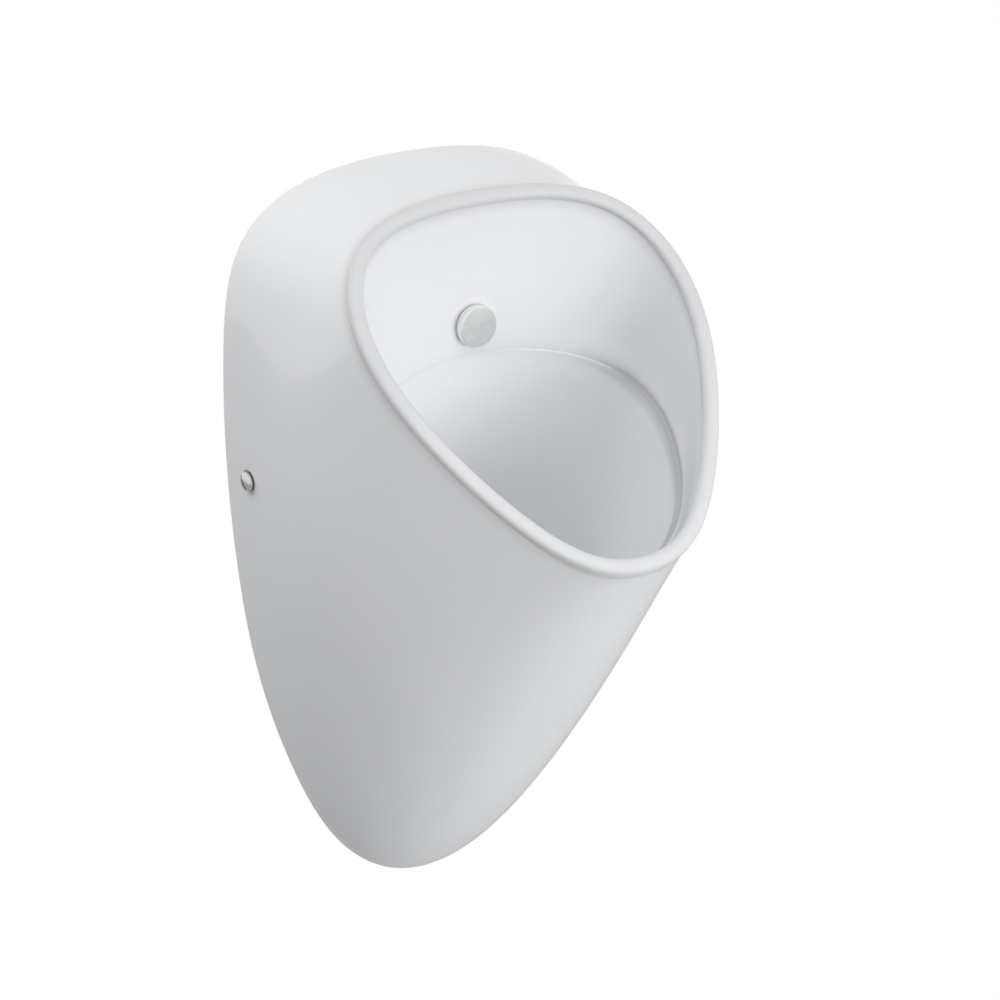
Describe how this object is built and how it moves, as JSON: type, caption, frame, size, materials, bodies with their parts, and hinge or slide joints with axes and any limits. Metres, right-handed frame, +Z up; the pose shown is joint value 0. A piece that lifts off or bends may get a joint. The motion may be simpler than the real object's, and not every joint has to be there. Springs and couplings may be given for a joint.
{
  "type": "wall hung urinal",
  "caption": "Wall hung urinal: a glazed china shell with a tilted oval mouth, deep bowl, rear flush inlet, concealed trap and side fixing screws.",
  "frame": {"origin": "centre of the wall fixings: on the wall plane, on the centre line, level with the side screws", "axes": "+X to the object's right seen from the front, +Y into the wall, +Z up"},
  "size_m": [0.3284, 0.3053, 0.6],
  "materials": {
    "vitreous_china": "gloss glaze",
    "satin_chrome": "satin",
    "polished_chrome": "polished",
    "stainless_steel": "brushed",
    "brass": "turned",
    "zinc_steel": "zinc plated",
    "white_plastic": "moulded, fine grain",
    "sleeve_plastic": "moulded",
    "rubber": "matt"
  },
  "bodies": {
    "urinal": {"china_body": "vitreous_china", "spreader_cap": "satin_chrome", "spreader_nozzle": "brass", "spreader_gasket": "rubber", "nozzle_washer": "rubber", "nozzle_nut": "brass", "seal_nut": "brass", "inlet_seal": "rubber", "flush_pipe": "polished_chrome", "waste_flange": "polished_chrome", "waste_nut": "white_plastic", "waste_gasket": "rubber", "waste_underseal": "rubber", "trap_bend": "white_plastic", "trap_arm": "white_plastic", "cleanout_plug": "white_plastic", "inlet_slip_nut": "white_plastic", "inlet_slip_washer": "rubber", "outlet_slip_nut": "white_plastic", "outlet_slip_washer": "rubber", "cleanout_seal": "rubber", "left_bracket": "zinc_steel", "left_bush": "zinc_steel", "left_bracket_pad": "rubber", "right_bracket": "zinc_steel", "right_bush": "zinc_steel", "right_bracket_pad": "rubber"},
    "strainer": {"drain_strainer": "stainless_steel"},
    "left_sleeve": {"left_sleeve": "sleeve_plastic"},
    "left_screw": {"left_side_screw": "polished_chrome"},
    "right_sleeve": {"right_sleeve": "sleeve_plastic"},
    "right_screw": {"right_side_screw": "polished_chrome"}
  },
  "joints": [
    {"name": "strainer_lift", "type": "slide", "parent": "urinal", "child": "strainer", "axis": [0, 0, 1], "range_m": [0, 0.03]},
    {"name": "left_screw_draw", "type": "slide", "parent": "urinal", "child": "left_sleeve", "axis": [-1, 0, 0], "range_m": [0, 0.0125]},
    {"name": "left_screw_turn", "type": "hinge", "parent": "left_sleeve", "child": "left_screw", "pos_m": [-0.1582, -0.034, 0], "axis": [-1, 0, 0], "range_deg": [0, 3600]},
    {"name": "right_screw_draw", "type": "slide", "parent": "urinal", "child": "right_sleeve", "axis": [1, 0, 0], "range_m": [0, 0.0125]},
    {"name": "right_screw_turn", "type": "hinge", "parent": "right_sleeve", "child": "right_screw", "pos_m": [0.1582, -0.034, 0], "axis": [1, 0, 0], "range_deg": [0, 3600]}
  ],
  "couplings": [
    {"joint": "left_screw_turn", "follows": "left_screw_draw", "rad_per_m": 5026.5},
    {"joint": "right_screw_turn", "follows": "right_screw_draw", "rad_per_m": 5026.5}
  ]
}
